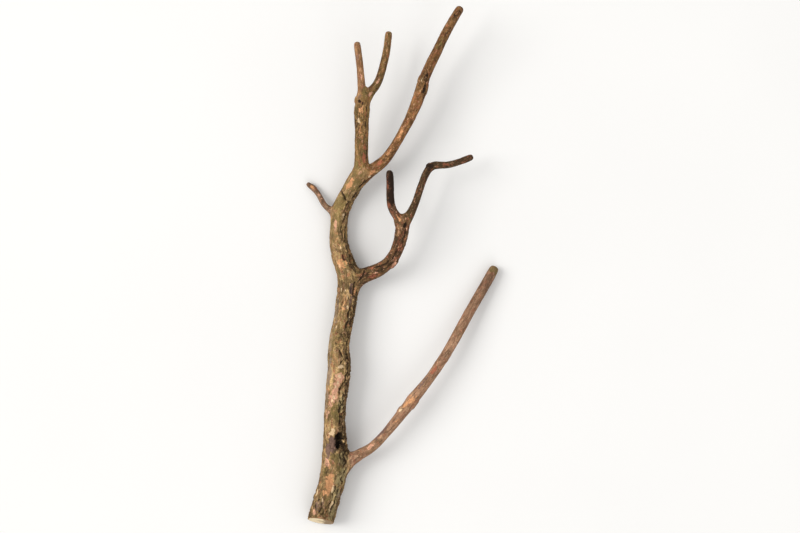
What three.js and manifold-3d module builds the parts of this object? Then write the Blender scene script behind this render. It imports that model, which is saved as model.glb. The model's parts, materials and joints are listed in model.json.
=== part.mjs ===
import * as THREE from "three";
import { mergeVertices } from "three/addons/utils/BufferGeometryUtils.js";
import Module from "manifold-3d";

// Millimetres. +Y runs from the sawn butt to the crown, +Z is up, the floor is z = 0.
const GAP = 0.3; // air between two pieces where a limb is split from its parent
const STEM_SIDES = 18;
const LIMB_SIDES = 14;
const TWIG_SIDES = 10;
const RING_STEP = 9.5; // length of limb between two rings
const DOME_RINGS = 3; // rings of the blunt end of a limb
const DOME_LENGTH = 0.7; // length of the blunt end, in limb radii
const OVAL = 0.035; // how far a section is from round, as a share of the radius
const LOBES = 0.022;
const REACH = 120; // side of the block that cuts a limb at its split

const BUTT_POINT = [-117, -379, 4]; // a point on the sawn face
const BUTT_NORMAL = [-0.16, -0.94, 0.31]; // outwards from the sawn face

// One limb per entry. Each station is x, y, z and radius. A limb starts inside its parent and is
// split from it `split` mm along, so the parent keeps the collar.
const LIMBS = {
  main_stem: {
    sides: STEM_SIDES,
    stations: [
      [-124, -396, 18.8, 19],
      [-117, -372, 19, 19],
      [-108, -341, 19.3, 19.3],
      [-100, -311, 20, 19.4],
      [-97, -286, 21, 19.3],
      [-96, -262, 22.5, 17.9],
      [-97, -226, 24, 15.9],
      [-94, -189, 25.5, 16.2],
      [-90, -153, 26, 17.4],
      [-90, -117, 25, 15.5],
      [-84, -80, 22.5, 14.8],
      [-79, -51, 20, 15.3],
      [-77, -26, 18.5, 15.7],
      [-82, -1, 16, 15],
      [-91, 27, 14, 13.9],
      [-91, 57, 12.8, 12.8],
      [-88, 80, 14.5, 12.9],
      [-78, 100, 18.5, 12.9],
      [-67, 118, 23, 12.6],
      [-60, 130, 26.5, 11.5],
    ],
  },
  lower_limb: {
    parent: "main_stem",
    sides: LIMB_SIDES,
    split: 46,
    stations: [
      [-98, -296, 21, 15],
      [-84, -289, 21.5, 14.4],
      [-70, -281, 22.5, 11],
      [-58, -275, 23.3, 8.2],
      [-44, -267, 24.4, 7.2],
      [-23, -246, 26, 6.7],
      [-1, -219, 27, 8],
      [21, -191, 26.5, 8.1],
      [44, -162, 24.5, 7.1],
      [66, -129, 21.5, 7.4],
      [87, -92, 17.5, 7.7],
      [109, -53, 12.8, 7.5],
      [127, -22, 9.2, 7.6],
      [136, -6, 7.3, 7.2],
    ],
  },
  left_spur: {
    parent: "main_stem",
    sides: TWIG_SIDES,
    split: 19,
    stations: [
      [-90, 80, 14.5, 6],
      [-101, 79, 13.6, 5.8],
      [-109, 82, 11.8, 4.4],
      [-115, 90, 9.8, 4],
      [-121, 102, 7.2, 3.9],
      [-127, 109, 5.6, 4],
      [-135, 115, 4.8, 4.3],
    ],
  },
  middle_limb: {
    parent: "main_stem",
    sides: LIMB_SIDES,
    split: 25,
    stations: [
      [-79, -27, 18.5, 13.5],
      [-67, -22, 20.5, 13.2],
      [-52, -16, 23.5, 11],
      [-33, -9, 27.5, 10.2],
      [-15, 5, 32.5, 9.2],
      [-3, 29, 39, 9.2],
      [2, 54, 45, 10.1],
      [4, 63, 47, 9],
    ],
  },
  middle_left_twig: {
    parent: "middle_limb",
    sides: TWIG_SIDES,
    split: 20,
    stations: [
      [3, 59, 46, 7.8],
      [-4, 67, 48.5, 7],
      [-11, 74, 52, 6.3],
      [-15, 85, 55.5, 6],
      [-16, 97, 59, 5.9],
      [-16, 114, 64, 5.8],
      [-17, 131, 69, 5.6],
    ],
  },
  middle_right_twig: {
    parent: "middle_limb",
    sides: TWIG_SIDES,
    split: 16,
    stations: [
      [5, 60, 46, 7.8],
      [11, 68, 46.5, 7.2],
      [16, 78, 46.8, 6.1],
      [21, 90, 47, 5.5],
      [29, 114, 46.5, 5.4],
      [36, 131, 45.8, 5.7],
      [42, 140, 45, 6.3],
      [51, 142, 43.5, 5.4],
      [64, 142, 41.5, 5.1],
      [83, 147, 38, 4.9],
      [101, 154, 35, 5.1],
    ],
  },
  crown_left_limb: {
    parent: "main_stem",
    sides: LIMB_SIDES,
    split: 39,
    stations: [
      [-66, 118, 23.5, 12.2],
      [-62, 129, 27, 12],
      [-58, 145, 32, 10.8],
      [-58, 165, 38, 10],
      [-57, 193, 46, 10.1],
      [-57, 220, 54, 10.9],
      [-55, 232, 58, 11.2],
      [-54, 240, 60, 9.6],
    ],
  },
  crown_left_twig: {
    parent: "crown_left_limb",
    sides: TWIG_SIDES,
    split: 22,
    stations: [
      [-55, 234, 58.5, 7.5],
      [-56, 245, 62, 6.6],
      [-57, 255, 65.5, 5.8],
      [-58, 269, 70, 5.4],
      [-60, 290, 77, 5.1],
      [-63, 313, 84.5, 5.1],
    ],
  },
  crown_right_twig: {
    parent: "crown_left_limb",
    sides: TWIG_SIDES,
    split: 23,
    stations: [
      [-54, 233, 58.5, 8.4],
      [-46, 244, 59, 7.6],
      [-37, 254, 58, 6.3],
      [-31, 266, 56.8, 5.9],
      [-27, 280, 56, 5.8],
      [-21, 306, 56.5, 5.6],
      [-18, 331, 58.5, 5.2],
    ],
  },
  crown_right_limb: {
    parent: "main_stem",
    sides: LIMB_SIDES,
    split: 44,
    stations: [
      [-68, 117, 24, 11],
      [-56, 127, 27.5, 11],
      [-41, 137, 30, 9.4],
      [-24, 150, 32.5, 7.6],
      [-5, 178, 35.5, 6.7],
      [11, 207, 38.5, 7.4],
      [26, 243, 42.5, 8.7],
      [33, 267, 45.5, 7.9],
      [50, 303, 52, 7.3],
      [66, 335, 59, 6.6],
      [84, 365, 67, 6.3],
    ],
  },
};

// Swellings: the limb they grow on, their centre and their half sizes.
const KNOBS = [
  ["main_stem", [-86, -298, 26], [9, 15, 10]],
  ["main_stem", [-106, -292, 24], [9, 14, 11]],
  ["main_stem", [-96, 79, 17], [8, 9, 9]],
  ["lower_limb", [2, -214, 30], [7, 8, 6]],
  ["lower_limb", [13, -196, 23], [7, 8, 6]],
  ["left_spur", [-135, 116, 5.4], [4.6, 4, 4.2]],
  ["middle_limb", [1, 50, 47], [9, 9, 8]],
  ["middle_right_twig", [42, 140, 46], [5.5, 5.5, 5.5]],
  ["crown_left_limb", [-63, 227, 57], [5, 7, 6]],
  ["crown_left_limb", [-49, 247, 61], [4.5, 7, 5]],
  ["crown_right_limb", [29, 255, 44], [8.5, 10, 8]],
];

// Hollows: the limb they are cut in, their centre and their half sizes.
const PITS = [
  ["main_stem", [-89, -259, 39.5], [3, 10.5, 7]],
  ["middle_limb", [5, 54, 55.5], [2, 3, 2.5]],
  ["crown_right_limb", [30, 267, 54.5], [3, 3, 2.5]],
];

const LOOKS = {
  main_stem: [0x8b6f4d, 0.86],
  lower_limb: [0x9f7b5c, 0.78],
  left_spur: [0x8e735b, 0.82],
  middle_limb: [0x6c5036, 0.84],
  middle_left_twig: [0x453122, 0.82],
  middle_right_twig: [0x674d37, 0.8],
  crown_left_limb: [0x866843, 0.84],
  crown_left_twig: [0x9c7454, 0.8],
  crown_right_twig: [0x80633f, 0.8],
  crown_right_limb: [0x876343, 0.8],
};

const wasm = await Module();
wasm.setup();

function solid(geometry) {
  const bare = geometry.clone();
  bare.deleteAttribute("normal");
  bare.deleteAttribute("uv");
  const merged = mergeVertices(bare, 1e-4);
  return new wasm.Manifold(
    new wasm.Mesh({
      numProp: 3,
      vertProperties: new Float32Array(merged.attributes.position.array),
      triVerts: new Uint32Array(merged.index.array),
    }),
  );
}

function surface(manifold) {
  const mesh = manifold.getMesh();
  const geometry = new THREE.BufferGeometry();
  geometry.setAttribute("position", new THREE.BufferAttribute(new Float32Array(mesh.vertProperties), 3));
  geometry.setIndex(new THREE.BufferAttribute(new Uint32Array(mesh.triVerts), 1));
  return geometry;
}

function limbCurve(limb) {
  const points = limb.stations.map(([x, y, z]) => new THREE.Vector3(x, y, z));
  return new THREE.CatmullRomCurve3(points, false, "centripetal");
}

// A closed cylinder bent along the stations, with a blunt end past the last one.
function limbBody(limb) {
  const curve = limbCurve(limb);
  const girth = new THREE.SplineCurve(limb.stations.map((p, i) => new THREE.Vector2(i, p[3])));
  const length = curve.getLength();
  const rings = Math.round(length / RING_STEP);
  const frames = curve.computeFrenetFrames(rings, false);
  const geometry = new THREE.CylinderGeometry(1, 1, 1, limb.sides, rings + DOME_RINGS);
  const position = geometry.attributes.position;
  const vertex = new THREE.Vector3();
  for (let i = 0; i < position.count; i++) {
    vertex.fromBufferAttribute(position, i);
    const ring = Math.round((vertex.y + 0.5) * (rings + DOME_RINGS));
    const along = Math.min(ring, rings);
    const past = ((ring - along) / (DOME_RINGS + 0.6)) * (Math.PI / 2);
    const u = along / rings;
    const radius = girth.getPoint(curve.getUtoTmapping(u)).y;
    const angle = Math.atan2(vertex.x, vertex.z);
    const s = u * length;
    const oval = OVAL * Math.sin(2 * angle + s / 31) + LOBES * Math.sin(3 * angle - s / 17);
    const out = radius * (1 + oval) * Math.cos(past);
    const centre = curve.getPointAt(u);
    centre.addScaledVector(frames.tangents[along], DOME_LENGTH * radius * Math.sin(past));
    centre.addScaledVector(frames.binormals[along], vertex.x * out);
    centre.addScaledVector(frames.normals[along], vertex.z * out);
    position.setXYZ(i, centre.x, centre.y, centre.z);
  }
  return solid(geometry);
}

// A block with one face through `point`, lying on the side that `direction` points to.
function halfSpace(point, direction) {
  const block = new THREE.BoxGeometry(REACH, REACH, REACH);
  block.translate(0, 0, REACH / 2);
  const turn = new THREE.Quaternion().setFromUnitVectors(new THREE.Vector3(0, 0, 1), direction);
  block.applyQuaternion(turn);
  block.translate(point.x, point.y, point.z);
  return solid(block);
}

function ellipsoid(centre, halfSizes) {
  const ball = new THREE.SphereGeometry(1, 12, 7);
  ball.scale(...halfSizes);
  ball.translate(...centre);
  return solid(ball);
}

function buildNodes() {
  const nodes = {};
  for (const [name, limb] of Object.entries(LIMBS)) {
    nodes[name] = limbBody(limb);
  }
  for (const [name, centre, halfSizes] of KNOBS) {
    nodes[name] = nodes[name].add(ellipsoid(centre, halfSizes));
  }
  const buttOut = new THREE.Vector3(...BUTT_NORMAL).normalize();
  nodes.main_stem = nodes.main_stem.subtract(halfSpace(new THREE.Vector3(...BUTT_POINT), buttOut));
  for (const [name, limb] of Object.entries(LIMBS)) {
    if (limb.parent) {
      const curve = limbCurve(limb);
      const u = limb.split / curve.getLength();
      const back = curve.getTangentAt(u).negate();
      const point = curve.getPointAt(u);
      const start = point.clone().addScaledVector(back, GAP);
      const collar = nodes[name].intersect(halfSpace(start, back));
      nodes[name] = nodes[name].subtract(halfSpace(point, back));
      nodes[limb.parent] = nodes[limb.parent].add(collar);
    }
  }
  for (const [name, centre, halfSizes] of PITS) {
    nodes[name] = nodes[name].subtract(ellipsoid(centre, halfSizes));
  }
  return nodes;
}

const branch = new THREE.Group();
for (const [name, body] of Object.entries(buildNodes())) {
  const [color, roughness] = LOOKS[name];
  const material = new THREE.MeshStandardMaterial({ color, roughness, metalness: 0 });
  const mesh = new THREE.Mesh(surface(body), material);
  mesh.name = name;
  branch.add(mesh);
}

// The origin goes to the middle of the box's underside.
const box = new THREE.Box3().setFromObject(branch);
const middle = box.getCenter(new THREE.Vector3());
for (const mesh of branch.children) {
  mesh.geometry.translate(-middle.x, -middle.y, -box.min.z);
}

export default branch;
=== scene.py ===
import json
import math

import bmesh
import bpy
import numpy as np
import openvdb
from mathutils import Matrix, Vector

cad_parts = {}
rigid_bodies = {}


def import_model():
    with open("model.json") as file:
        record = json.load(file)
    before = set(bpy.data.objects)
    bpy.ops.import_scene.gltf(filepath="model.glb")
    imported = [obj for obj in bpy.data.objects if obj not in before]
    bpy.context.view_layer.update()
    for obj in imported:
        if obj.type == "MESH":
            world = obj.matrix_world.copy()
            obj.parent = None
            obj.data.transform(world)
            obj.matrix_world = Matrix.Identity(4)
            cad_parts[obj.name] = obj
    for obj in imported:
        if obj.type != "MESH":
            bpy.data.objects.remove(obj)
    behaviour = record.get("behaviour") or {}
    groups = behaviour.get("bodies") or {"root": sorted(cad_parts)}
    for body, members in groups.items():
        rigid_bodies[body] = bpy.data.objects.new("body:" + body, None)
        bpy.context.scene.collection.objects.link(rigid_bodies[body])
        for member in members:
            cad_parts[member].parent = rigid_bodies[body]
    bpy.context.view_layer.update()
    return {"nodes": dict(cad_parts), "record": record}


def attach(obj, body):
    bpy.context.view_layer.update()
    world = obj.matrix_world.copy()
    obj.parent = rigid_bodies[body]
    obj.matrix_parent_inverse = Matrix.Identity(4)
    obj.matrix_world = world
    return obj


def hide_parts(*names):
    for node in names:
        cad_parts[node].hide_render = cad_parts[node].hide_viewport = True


for leftover in list(bpy.data.objects):
    bpy.data.objects.remove(leftover)

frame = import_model()

# Lengths in the making of the branch are in millimetres, and become metres in its mesh.
MM = 0.001
VOXEL = 0.9  # the grain of the grid that the skin is made on
MARGIN = 10.0  # how far the grid goes past the limbs
BAND = 8.0  # how far outside a limb its distance field is worked out
FAR = 40.0  # the distance that stands for anything further off
DEEP = 3.0  # how far from the skin the finished field is kept
APART = 700.0  # how far apart two limbs' own coordinates start
BATCH = 6000  # how many corners are placed at a time
STRETCH = 6  # how many steps of a centre line are worked out at a time
TRACE_STEP = 2.5  # between the cuts through a packed limb that find its centre line
MOST_CUTS = 600  # where the cutting stops if no tip is met
TIP_REACH = 20.0  # how near a limb's tip its end is rounded
FURROW_REACH = 6.0  # how far from its line a furrow is worked out
BLEND = 1.7  # how softly one limb runs into another at a fork
WIDE_BLEND = 7.0  # and at the two forks of the stem that have wide hollows
# How far back from the split the middle of such a hollow is, and how far round it this reaches.
WIDE_FORKS = {"lower_limb": (24, 17), "middle_limb": (9, 13)}
BARK_BLEND = 1.2  # how softly one limb's bark runs into another's
PATH_STEP = 2.0  # between the points of a centre line
BLUNT = 0.55  # how round the end of a twig is, as a share of its radius
CAMERA_PLACE = (-0.0036, 0.00145, 2.764)  # metres: straight above the middle of the view

PARENT = {
    "lower_limb": "main_stem",
    "left_spur": "main_stem",
    "middle_limb": "main_stem",
    "crown_left_limb": "main_stem",
    "crown_right_limb": "main_stem",
    "middle_left_twig": "middle_limb",
    "middle_right_twig": "middle_limb",
    "crown_left_twig": "crown_left_limb",
    "crown_right_twig": "crown_left_limb",
}
NODES = ["main_stem", *PARENT]


def unit(v):
    return v / np.linalg.norm(v, axis=-1, keepdims=True)


def smoothstep(low, high, x):
    t = np.clip((x - low) / (high - low), 0, 1)
    return t * t * (3 - 2 * t)


# ---- noise ----


def lattice(cell, seed):
    """A repeatable number from 0 to 1 for each whole-number cell."""
    c = cell.astype(np.int64)
    h = c[..., 0] * 73856093 ^ c[..., 1] * 19349663 ^ c[..., 2] * 83492791 ^ (seed * 2654435761)
    h = (h ^ (h >> 13)) * 1274126177 & 0xFFFFFFFF
    h = (h ^ (h >> 16)) * 2246822519 & 0xFFFFFFFF
    return ((h ^ (h >> 15)) & 0xFFFFFF) / 0xFFFFFF


def noise(p, seed):
    """Smooth noise from -1 to 1."""
    base = np.floor(p)
    f = p - base
    f = f * f * f * (f * (f * 6 - 15) + 10)
    total = 0
    for corner in np.ndindex(2, 2, 2):
        weight = np.prod(np.where(corner, f, 1 - f), axis=-1)
        total = total + weight * lattice(base + corner, seed)
    return total * 2 - 1


def fbm(p, octaves, seed):
    total, amount = 0, 1.0
    for i in range(octaves):
        total = total + amount * noise(p * 2.03**i, seed + i)
        amount *= 0.5
    return total / (2 - 0.5 ** (octaves - 1))


def cells(p, seed):
    """Distance to the nearest and second nearest cell point, and the nearest cell's number."""
    base = np.floor(p)
    first = np.full(len(p), 9.0)
    second = np.full(len(p), 9.0)
    number = np.zeros(len(p))
    for dx, dy, dz in np.ndindex(3, 3, 3):
        cell = base + np.array([dx - 1, dy - 1, dz - 1])
        spot = np.stack([lattice(cell, seed + i) for i in range(3)], -1) * 0.8 + 0.1
        d = np.linalg.norm(cell + spot - p, axis=1)
        closer = d < first
        second = np.where(closer, first, np.minimum(second, d))
        number = np.where(closer, lattice(cell, seed + 7), number)
        first = np.where(closer, d, first)
    return first, second, number


# ---- centre lines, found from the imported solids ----


def read(items, key, width, kind):
    """A value, or a row of so many, from each item of a mesh."""
    values = np.empty(len(items) * width, kind)
    items.foreach_get(key, values)
    return values.reshape(-1, width) if width > 1 else values


def triangles(node):
    """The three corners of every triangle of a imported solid."""
    mesh = frame["nodes"][node].data
    mesh.calc_loop_triangles()
    corner = read(mesh.loop_triangles, "vertices", 3, np.int32)
    return read(mesh.vertices, "co", 3, np.float32)[corner].astype(float) / MM


def flat_end(tris):
    """Area, centre and outward normal of the flat face that a limb starts with."""
    cross = np.cross(tris[:, 1] - tris[:, 0], tris[:, 2] - tris[:, 0])
    area = np.linalg.norm(cross, axis=1) / 2
    tris, cross, area = (a[area > 1e-6] for a in (tris, cross, area))
    normal = cross / (2 * area[:, None])
    mid = tris.mean(1)
    offset = (normal * mid).sum(1)
    best = (0, None, None)
    for i in np.flatnonzero(area > 2):
        same = (normal @ normal[i] > 0.9995) & (abs(offset - offset[i]) < 0.05)
        total = area[same].sum()
        if total > best[0]:
            centre = (mid[same] * area[same, None]).sum(0) / total
            far = np.linalg.norm(tris[same].reshape(-1, 3) - centre, axis=1).max()
            if total > 0.6 * math.pi * far**2:
                best = (total, centre, normal[i])
    return best


def section(tris, point, along, radius):
    """Centre and radius of the round that best fits the cut through a limb at a plane."""
    side = (tris - point) @ along
    cut = (side.min(1) < 0) & (side.max(1) > 0)
    tris, side = tris[cut], side[cut]
    ends = []
    for a, b in ((0, 1), (1, 2), (2, 0)):
        gap = side[:, a] - side[:, b]
        crossing = side[:, a] * side[:, b] < 0
        f = np.where(crossing, side[:, a] / np.where(crossing, gap, 1), np.nan)
        ends.append(tris[:, a] + f[:, None] * (tris[:, b] - tris[:, a]))
    ends = np.stack(ends, 1)
    ends = ends[(~np.isnan(ends[:, :, 0])).sum(1) == 2]
    ends = ends[~np.isnan(ends[:, :, 0])].reshape(-1, 2, 3)
    length = np.linalg.norm(ends[:, 0] - ends[:, 1], axis=1)
    across = unit(np.cross(along, [0.0, 0.0, 1.0]))
    plane = np.stack([across, np.cross(along, across)], 1)
    spot = (ends.mean(1) - point) @ plane
    centre = np.zeros(2)
    fitted = radius
    slack = 0.35
    for _ in range(4):
        miss = abs(np.linalg.norm(spot - centre, axis=1) - fitted)
        keep = miss < slack * fitted
        if length[keep].sum() < 2.4 * fitted:
            return None
        known = np.hstack([spot[keep], np.ones((keep.sum(), 1))])
        weight = np.sqrt(length[keep])
        square = (spot[keep] ** 2).sum(1)
        x, y, z = np.linalg.lstsq(known * weight[:, None], square * weight, rcond=None)[0]
        centre = np.array([x, y]) / 2
        fitted = math.sqrt(max(z + centre @ centre, 0.1))
        slack = 0.16
    return point + plane @ centre, fitted


def trace(tris, start, along, radius):
    """Walks along a limb from its flat end to its tip, cutting it as it goes."""
    path = []
    point = start + along * 0.5
    while len(path) < MOST_CUTS:
        found = section(tris, point, along, radius)
        if found is None or np.linalg.norm(found[0] - point) > 0.5 * radius:
            break
        centre, here = found
        path.append((*centre, here))
        if len(path) > 4:
            along = unit(unit(centre - np.array(path[-5][:3])) + along)
        if here > 0.8 * radius:
            radius = 0.7 * radius + 0.3 * here
        point = centre + along * TRACE_STEP
    return np.array(path)


def arc(path):
    steps = np.linalg.norm(np.diff(path[:, :3], axis=0), axis=1)
    return np.concatenate([[0], np.cumsum(steps)])


def resampled(path, step=PATH_STEP):
    s = arc(path)
    even = np.linspace(0, s[-1], max(4, round(s[-1] / step) + 1))
    return np.stack([np.interp(even, s, path[:, i]) for i in range(path.shape[1])], 1)


def smoothed(path, width):
    """Evens out a path with a bell of that width in millimetres, its two ends kept."""
    s = arc(path)
    weight = np.exp(-0.5 * ((s[:, None] - s[None]) / width) ** 2)
    reach = np.minimum(s, s[-1] - s)[:, None] + 1e-3
    weight *= abs(s[:, None] - s[None]) <= reach
    return weight @ path / weight.sum(1, keepdims=True)


def joined_to(parent, centre, outward, radius):
    """The hidden start of a limb: a bend from the parent's centre line to the split."""
    places = centre + outward * np.arange(6, 70, 1.0)[:, None]
    gap = np.linalg.norm(parent[None, :, :3] - places[:, None], axis=2)
    t, k = np.unravel_index((gap + 0.02 * np.arange(len(places))[:, None]).argmin(), gap.shape)
    k = max(0, k - round(0.25 * (t + 6) / PATH_STEP))
    away = np.linalg.norm(parent[:, :3] - centre, axis=1)
    if away[k] < 1.8 * parent[k, 3]:
        k = np.flatnonzero(away[:k] >= 1.8 * np.median(parent[: k - 6, 3][-12:]))[-1]
    base = parent[k, :3]
    turn = centre + outward * np.linalg.norm(base - centre) * 0.45
    u = np.linspace(0, 1, 14)[:-1, None]
    line = (1 - u) ** 2 * base + 2 * u * (1 - u) * turn + u**2 * centre
    start = min(parent[k, 3] * 0.8, radius * 1.7)
    girth = radius + (start - radius) * (1 - u) ** 1.6
    return np.hstack([line, girth])


def limb_from(node, limbs):
    tris = triangles(node)
    area, centre, outward = flat_end(tris)
    radius = math.sqrt(area / math.pi)
    path = resampled(trace(tris, centre, -outward, radius))
    end = unit(path[-1, :3] - path[-4, :3])
    corners = tris.reshape(-1, 3)
    near = corners[np.linalg.norm(corners - path[-1, :3], axis=1) < 3 * radius]
    tip = path[-1, :3] + end * ((near - path[-1, :3]) @ end).max()
    if node in PARENT:
        girth = np.median(path[-12:-5, 3])
        keep = (tip - path[:, :3]) @ end > 0.45 * girth
        path = path[keep]
        path[-5:, 3] = girth
        path = np.vstack([joined_to(limbs[PARENT[node]]["path"], centre, outward, radius), path])
    else:
        back = [(*(centre + outward * t), path[0, 3]) for t in (20, 15, 10, 5)]
        path = np.vstack([back, path])
    path = resampled(path)
    bell = 0.8 + 0.28 * radius
    path = np.hstack([smoothed(path, bell)[:, :3], smoothed(path, 1.5 * bell)[:, 3:]])
    return {"path": path, "cut": centre, "out": outward, "radius": radius, "tip": tip, "end": end}


def find_limbs():
    limbs = {}
    for node in NODES:
        limbs[node] = limb_from(node, limbs)
    for parent in dict.fromkeys(PARENT.values()):
        path = limbs[parent]["path"]
        starts = [limbs[n]["path"][0, :3] for n in PARENT if PARENT[n] == parent]
        last = max(np.linalg.norm(path[:, :3] - p, axis=1).argmin() for p in starts)
        path = path[: last + 3]
        path[-9:, 3] = np.minimum(path[-9:, 3], np.median(path[-22:-12, 3]))
        limbs[parent]["path"] = path
        limbs[parent]["tip"] = None
    for limb in limbs.values():
        p = limb["path"][:, :3]
        tangent = unit(np.gradient(p, axis=0))
        up = unit(np.array([0, 0, 1]) - tangent * tangent[:, 2:3])
        limb.update(tangent=tangent, up=up, right=np.cross(tangent, up), s=arc(limb["path"]))
    return limbs


# ---- the smooth body ----


def nearest_on(limb, points, span=None):
    """Signed distance from a limb's surface, and the place on its centre line, for each point."""
    path = limb["path"] if span is None else limb["path"][span]
    a, b = path[:-1], path[1:]
    ab = b[:, :3] - a[:, :3]
    size = (ab**2).sum(1)
    rel = points[:, None, :] - a[None, :, :3]
    t = np.clip(np.einsum("ijk,jk->ij", rel, ab) / size, 0, 1)
    gap = np.sqrt(((rel - t[..., None] * ab) ** 2).sum(-1))
    gap -= a[:, 3] + t * (b[:, 3] - a[:, 3])
    k = gap.argmin(1)
    row = np.arange(len(points))
    return gap[row, k], k + t[row, k]


def distance_field(limbs):
    """Every limb's distance field on one grid, run softly together."""
    paths = [limb["path"] for limb in limbs.values()]
    low = np.min([(path[:, :3] - path[:, 3:]).min(0) for path in paths], 0) - MARGIN
    high = np.max([(path[:, :3] + path[:, 3:]).max(0) for path in paths], 0) + MARGIN
    size = np.ceil((high - low) / VOXEL).astype(int)

    def block(path):
        reach = path[:, 3:] + BAND
        a = np.floor(((path[:, :3] - reach).min(0) - low) / VOXEL).astype(int).clip(0)
        b = np.ceil(((path[:, :3] + reach).max(0) - low) / VOXEL).astype(int)
        return a, np.minimum(b, size)

    def places(a, b):
        return [np.arange(a[i], b[i]) * VOXEL + low[i] for i in range(3)]

    total = np.zeros(size, np.float32)
    wide = np.zeros(size, np.float32)
    tail = math.exp(-BAND / WIDE_BLEND)
    for node, limb in limbs.items():
        lo, hi = block(limb["path"])
        own = np.full(hi - lo, FAR, np.float32)
        for k in range(0, len(limb["path"]) - 1, STRETCH):
            span = slice(k, k + STRETCH + 1)
            a, b = block(limb["path"][span])
            grid = np.stack(np.meshgrid(*places(a, b), indexing="ij"), -1)
            gap, _ = nearest_on(limb, grid.reshape(-1, 3), span)
            part = tuple(slice(a[i] - lo[i], b[i] - lo[i]) for i in range(3))
            own[part] = np.minimum(own[part], gap.reshape(grid.shape[:3]))
        x, y, z = np.meshgrid(*places(lo, hi), indexing="ij", sparse=True)
        if node == "main_stem":
            out = limb["out"]
            own = np.maximum(own, x * out[0] + y * out[1] + z * out[2] - limb["cut"] @ out)
        elif limb["tip"] is not None:
            end, tip = limb["end"], limb["tip"]
            past = x * end[0] + y * end[1] + z * end[2] - tip @ end
            near = (x - tip[0]) ** 2 + (y - tip[1]) ** 2 + (z - tip[2]) ** 2 < TIP_REACH**2
            blunt = BLUNT * limb["path"][-1, 3]
            own[near] = blunt * np.logaddexp(own[near] / blunt, past[near] / blunt)
        part = tuple(slice(lo[i], hi[i]) for i in range(3))
        total[part] += np.exp(-own / BLEND)
        wide[part] += np.maximum(np.exp(-own / WIDE_BLEND) - tail, 0) / (1 - tail)
    field = -BLEND * np.log(np.maximum(total, 1e-6))
    wide = -WIDE_BLEND * np.log(np.maximum(wide, 1e-6))
    x, y, z = np.meshgrid(*places(np.zeros(3, int), size), indexing="ij", sparse=True)
    for node, (back, reach) in WIDE_FORKS.items():
        a, b, c = limbs[node]["cut"] + limbs[node]["out"] * back
        share = np.exp(-((x - a) ** 2 + (y - b) ** 2 + (z - c) ** 2) / reach**2)
        field += share * (wide - field)
    return np.clip(field, -DEEP, DEEP).astype(np.float32), low


def skin(limbs):
    """The smooth surface of the whole branch: corner places in millimetres and its quads."""
    field, low = distance_field(limbs)
    grid = openvdb.FloatGrid(DEEP)
    grid.copyFromArray(field)
    points, quads = grid.convertToQuads(isovalue=0)
    return points * VOXEL + low, quads.astype(np.int64)


# ---- the bark ----

# The pale, brown and deep colours of each limb's bark. They run into each other at the forks.
PALETTES = {
    "main_stem": ((0.53, 0.345, 0.152), (0.33, 0.205, 0.084), (0.12, 0.07, 0.031)),
    "lower_limb": ((0.42, 0.24, 0.145), (0.32, 0.175, 0.1), (0.16, 0.088, 0.05)),
    "left_spur": ((0.24, 0.14, 0.088), (0.175, 0.1, 0.062), (0.09, 0.05, 0.032)),
    "middle_limb": ((0.205, 0.11, 0.048), (0.135, 0.067, 0.028), (0.05, 0.025, 0.012)),
    "middle_left_twig": ((0.2, 0.1, 0.05), (0.13, 0.064, 0.032), (0.045, 0.022, 0.011)),
    "middle_right_twig": ((0.105, 0.06, 0.027), (0.067, 0.036, 0.016), (0.03, 0.016, 0.008)),
    "crown_left_limb": ((0.34, 0.2, 0.07), (0.215, 0.12, 0.04), (0.085, 0.046, 0.018)),
    "crown_left_twig": ((0.36, 0.19, 0.088), (0.265, 0.13, 0.056), (0.12, 0.062, 0.028)),
    "crown_right_twig": ((0.28, 0.165, 0.06), (0.18, 0.1, 0.035), (0.08, 0.042, 0.017)),
    "crown_right_limb": ((0.3, 0.148, 0.055), (0.22, 0.102, 0.036), (0.095, 0.046, 0.018)),
}

# How each limb's bark is made: depth of its furrows and of its fine wrinkles, width and length of
# its plates in millimetres, and how much of its surface has cracked.
BARK = {
    "main_stem": (1.7, 0.6, (7, 19), 0.9),
    "lower_limb": (0.2, 0.25, (6, 9), 0.12),
    "left_spur": (0.2, 0.3, (5, 9), 0.2),
    "middle_limb": (0.6, 0.45, (5, 8), 0.5),
    "middle_left_twig": (0.25, 0.3, (4, 7), 0.3),
    "middle_right_twig": (0.25, 0.3, (4, 8), 0.35),
    "crown_left_limb": (0.6, 0.45, (5.5, 10), 0.45),
    "crown_left_twig": (0.15, 0.25, (4, 7), 0.12),
    "crown_right_twig": (0.25, 0.35, (4, 7), 0.3),
    "crown_right_limb": (0.4, 0.4, (5, 10), 0.35),
}

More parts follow.
